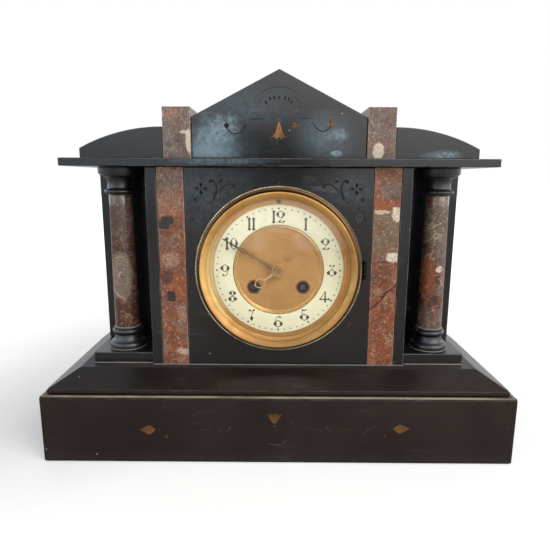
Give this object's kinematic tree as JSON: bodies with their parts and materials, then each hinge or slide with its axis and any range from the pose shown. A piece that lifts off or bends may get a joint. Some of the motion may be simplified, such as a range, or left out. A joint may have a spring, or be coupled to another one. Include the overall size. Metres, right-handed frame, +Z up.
{
  "type": "mantel clock",
  "caption": "Slate mantel clock with red marble strips and columns, chamfered plinth, gabled top, opening glazed bezel, and a pendulum movement that strikes on a gong.",
  "frame": {"origin": "middle of the plinth's footprint, on the surface that it stands on", "axes": "+X to the right as seen from the front, +Y to the back, +Z up; the dial faces -Y"},
  "size_m": [0.39, 0.16, 0.3163],
  "materials": {
    "slate": "polished black slate",
    "marble": "polished red-brown breccia marble",
    "brass": "lacquered, turned",
    "gilt": "matt gilt",
    "enamel": "cream enamel",
    "glass": "clear, convex",
    "steel": "polished",
    "iron": "painted black"
  },
  "bodies": {
    "case": {"plinth_front": "slate", "plinth_back": "slate", "plinth_cap": "slate", "front_panel": "slate", "back_panel": "slate", "cornice": "slate", "pediment": "slate", "left_plinth_end": "slate", "left_bay_wall": "slate", "left_column_slab": "slate", "left_recess_panel": "slate", "left_side_wall": "slate", "left_column_base": "slate", "left_column_capital": "slate", "left_wing": "slate", "left_marble_strip": "marble", "left_column_shaft": "marble", "left_marble_block": "marble", "right_plinth_end": "slate", "right_bay_wall": "slate", "right_column_slab": "slate", "right_recess_panel": "slate", "right_side_wall": "slate", "right_column_base": "slate", "right_column_capital": "slate", "right_wing": "slate", "right_marble_strip": "marble", "right_column_shaft": "marble", "right_marble_block": "marble", "dial_frame": "brass", "front_plate": "brass", "back_plate": "brass", "suspension_cock": "brass", "rear_ring": "brass", "dial_plate": "gilt", "chapter_ring": "enamel", "bezel_hinge_pin": "steel", "gong_coil": "steel", "gong_stand": "iron"},
    "bezel": {"bezel_ring": "brass", "bezel_glass": "glass"},
    "minute": {"minute_hand": "gilt", "cannon_pinion": "steel"},
    "hour": {"hour_hand": "gilt", "hour_wheel": "brass"},
    "motion": {"minute_wheel": "brass"},
    "going_drum": {"going_barrel": "brass"},
    "going_arbor": {"going_winding_arbor": "steel"},
    "strike_drum": {"strike_barrel": "brass"},
    "strike_arbor": {"strike_winding_arbor": "steel"},
    "second": {"second_wheel": "brass"},
    "centre": {"centre_wheel": "brass"},
    "third": {"third_wheel": "brass"},
    "escape": {"escape_wheel": "brass"},
    "pallets": {"anchor": "steel"},
    "pendulum": {"pendulum_rod": "steel", "pendulum_bob": "brass"},
    "striker": {"hammer": "steel"},
    "rear_cover": {"rear_door": "brass"},
    "regulator": {"regulator_arbor": "steel"}
  },
  "joints": [
    {"name": "bezel_swing", "type": "hinge", "parent": "case", "child": "bezel", "pos_m": [0.0714, -0.0496, 0.1579], "axis": [0, 0, 1], "range_deg": [0, 115]},
    {"name": "minute_turn", "type": "hinge", "parent": "case", "child": "minute", "pos_m": [0, -0.0476, 0.1579], "axis": [0, 1, 0], "continuous": true},
    {"name": "hour_turn", "type": "hinge", "parent": "case", "child": "hour", "pos_m": [0, -0.0476, 0.1579], "axis": [0, 1, 0], "continuous": true},
    {"name": "minute_wheel_turn", "type": "hinge", "parent": "case", "child": "motion", "pos_m": [0, -0.0476, 0.1471], "axis": [0, 1, 0], "continuous": true},
    {"name": "escape_turn", "type": "hinge", "parent": "case", "child": "escape", "pos_m": [0, -0.0476, 0.18298], "axis": [0, 1, 0], "continuous": true},
    {"name": "third_turn", "type": "hinge", "parent": "case", "child": "third", "pos_m": [-0.00237, -0.0476, 0.17134], "axis": [0, 1, 0], "continuous": true},
    {"name": "centre_turn", "type": "hinge", "parent": "case", "child": "centre", "pos_m": [0, -0.0476, 0.1579], "axis": [0, 1, 0], "continuous": true},
    {"name": "second_turn", "type": "hinge", "parent": "case", "child": "second", "pos_m": [0.01418, -0.0476, 0.1612], "axis": [0, 1, 0], "continuous": true},
    {"name": "going_barrel_turn", "type": "hinge", "parent": "case", "child": "going_drum", "pos_m": [0.02055, -0.0476, 0.1434], "axis": [0, 1, 0], "continuous": true},
    {"name": "strike_barrel_turn", "type": "hinge", "parent": "case", "child": "strike_drum", "pos_m": [-0.02055, -0.0476, 0.1434], "axis": [0, 1, 0], "continuous": true},
    {"name": "going_winding", "type": "hinge", "parent": "case", "child": "going_arbor", "pos_m": [0.02055, -0.0476, 0.1434], "axis": [0, 1, 0], "continuous": true},
    {"name": "strike_winding", "type": "hinge", "parent": "case", "child": "strike_arbor", "pos_m": [-0.02055, -0.0476, 0.1434], "axis": [0, 1, 0], "continuous": true},
    {"name": "pendulum_swing", "type": "hinge", "parent": "case", "child": "pendulum", "pos_m": [0, 0.0152, 0.19489], "axis": [0, 1, 0], "range_deg": [-4, 4]},
    {"name": "anchor_rock", "type": "hinge", "parent": "case", "child": "pallets", "pos_m": [0, 0.0152, 0.19489], "axis": [0, 1, 0], "range_deg": [-4, 4]},
    {"name": "hammer_lift", "type": "hinge", "parent": "case", "child": "striker", "pos_m": [-0.034, 0.0072, 0.1679], "axis": [0, 1, 0], "range_deg": [0, 18]},
    {"name": "rear_door_swing", "type": "hinge", "parent": "case", "child": "rear_cover", "pos_m": [-0.0714, 0.074, 0.1579], "axis": [0, 0, 1], "range_deg": [0, 120]},
    {"name": "regulator_turn", "type": "hinge", "parent": "case", "child": "regulator", "pos_m": [0, -0.0476, 0.2147], "axis": [0, 1, 0], "range_deg": [-360, 360]}
  ],
  "couplings": [
    {"joint": "hour_turn", "follows": "minute_turn", "ratio": 0.083333},
    {"joint": "minute_wheel_turn", "follows": "minute_turn", "ratio": -0.33333},
    {"joint": "third_turn", "follows": "escape_turn", "ratio": -0.1},
    {"joint": "centre_turn", "follows": "escape_turn", "ratio": 0.0083333},
    {"joint": "second_turn", "follows": "escape_turn", "ratio": -0.0013889},
    {"joint": "going_barrel_turn", "follows": "escape_turn", "ratio": 0.00023148},
    {"joint": "anchor_rock", "follows": "pendulum_swing", "ratio": 1}
  ]
}
